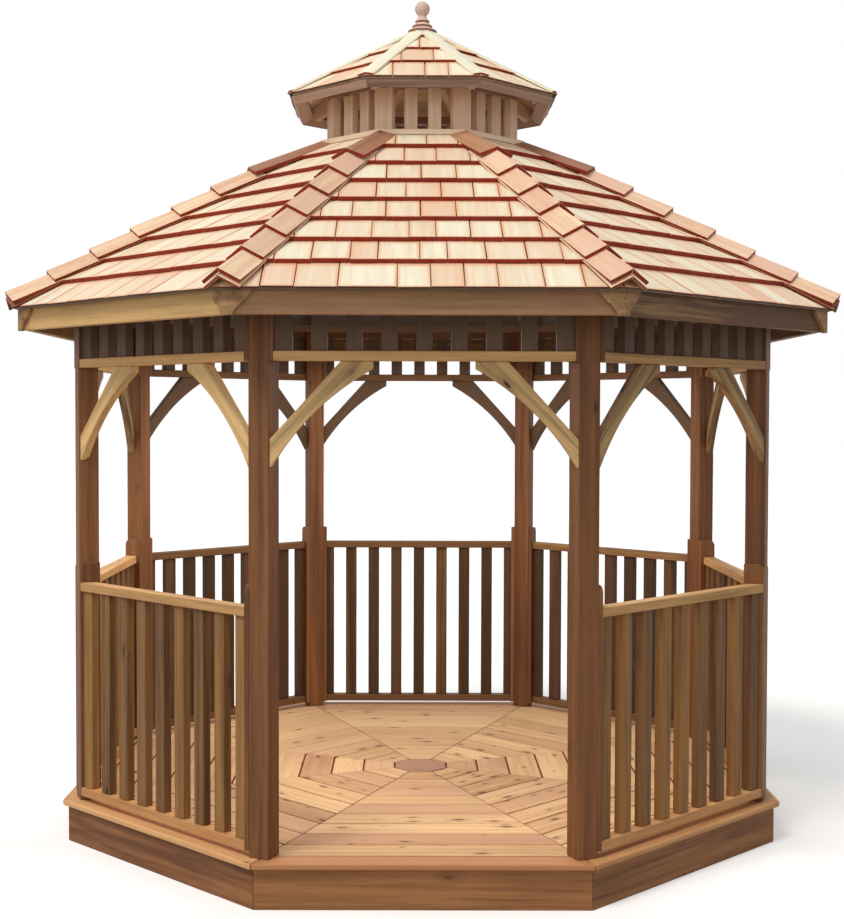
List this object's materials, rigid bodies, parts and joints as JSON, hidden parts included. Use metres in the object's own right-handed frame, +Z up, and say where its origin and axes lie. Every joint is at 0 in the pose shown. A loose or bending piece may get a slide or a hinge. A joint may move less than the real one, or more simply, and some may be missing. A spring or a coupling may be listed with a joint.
{
  "type": "garden gazebo",
  "caption": "Octagonal cedar garden gazebo with a railed deck, an open entrance bay, arched knee braces, a shingled roof and a vented cupola with a ball finial.",
  "frame": {"origin": "on the ground, under the middle of the floor", "axes": "+Z up through the finial, -Y out of the entrance bay, +X to the right seen from the entrance"},
  "size_m": [3.6866, 3.6866, 3.9331],
  "materials": {
    "deck_wood": "weathered natural cedar",
    "skirt_wood": "weathered natural cedar",
    "post_wood": "weathered natural cedar",
    "rail_wood": "weathered natural cedar",
    "brace_wood": "weathered natural cedar",
    "inner_wood": "weathered natural cedar",
    "shingle_wood": "weathered natural cedar",
    "cap_wood": "weathered natural cedar",
    "fascia_wood": "weathered natural cedar",
    "cupola_wood": "weathered natural cedar",
    "pale_wood": "weathered natural cedar"
  },
  "bodies": {
    "root": {"floor_deck": "deck_wood", "skirt_boards": "skirt_wood", "post_cleats": "rail_wood", "knee_braces": "brace_wood", "top_plate": "inner_wood", "hip_rafters": "inner_wood", "hip_caps": "cap_wood", "fascia_boards": "fascia_wood", "corner_trims": "fascia_wood", "cupola_curb": "inner_wood", "cupola_collar": "cupola_wood", "cupola_uprights": "cupola_wood", "cupola_plate": "inner_wood", "cupola_rafters": "inner_wood", "cupola_roof": "shingle_wood", "cupola_hip_boards": "pale_wood", "cupola_fascia": "cupola_wood", "finial": "pale_wood", "front_posts": "post_wood", "right_posts": "post_wood", "back_posts": "post_wood", "left_posts": "post_wood", "frieze_front": "rail_wood", "roof_front": "shingle_wood", "railing_front_right": "rail_wood", "frieze_front_right": "rail_wood", "roof_front_right": "shingle_wood", "railing_right": "rail_wood", "frieze_right": "rail_wood", "roof_right": "shingle_wood", "railing_back_right": "rail_wood", "frieze_back_right": "rail_wood", "roof_back_right": "shingle_wood", "railing_back": "rail_wood", "frieze_back": "rail_wood", "roof_back": "shingle_wood", "railing_back_left": "rail_wood", "frieze_back_left": "rail_wood", "roof_back_left": "shingle_wood", "railing_left": "rail_wood", "frieze_left": "rail_wood", "roof_left": "shingle_wood", "railing_front_left": "rail_wood", "frieze_front_left": "rail_wood", "roof_front_left": "shingle_wood"}
  },
  "joints": []
}
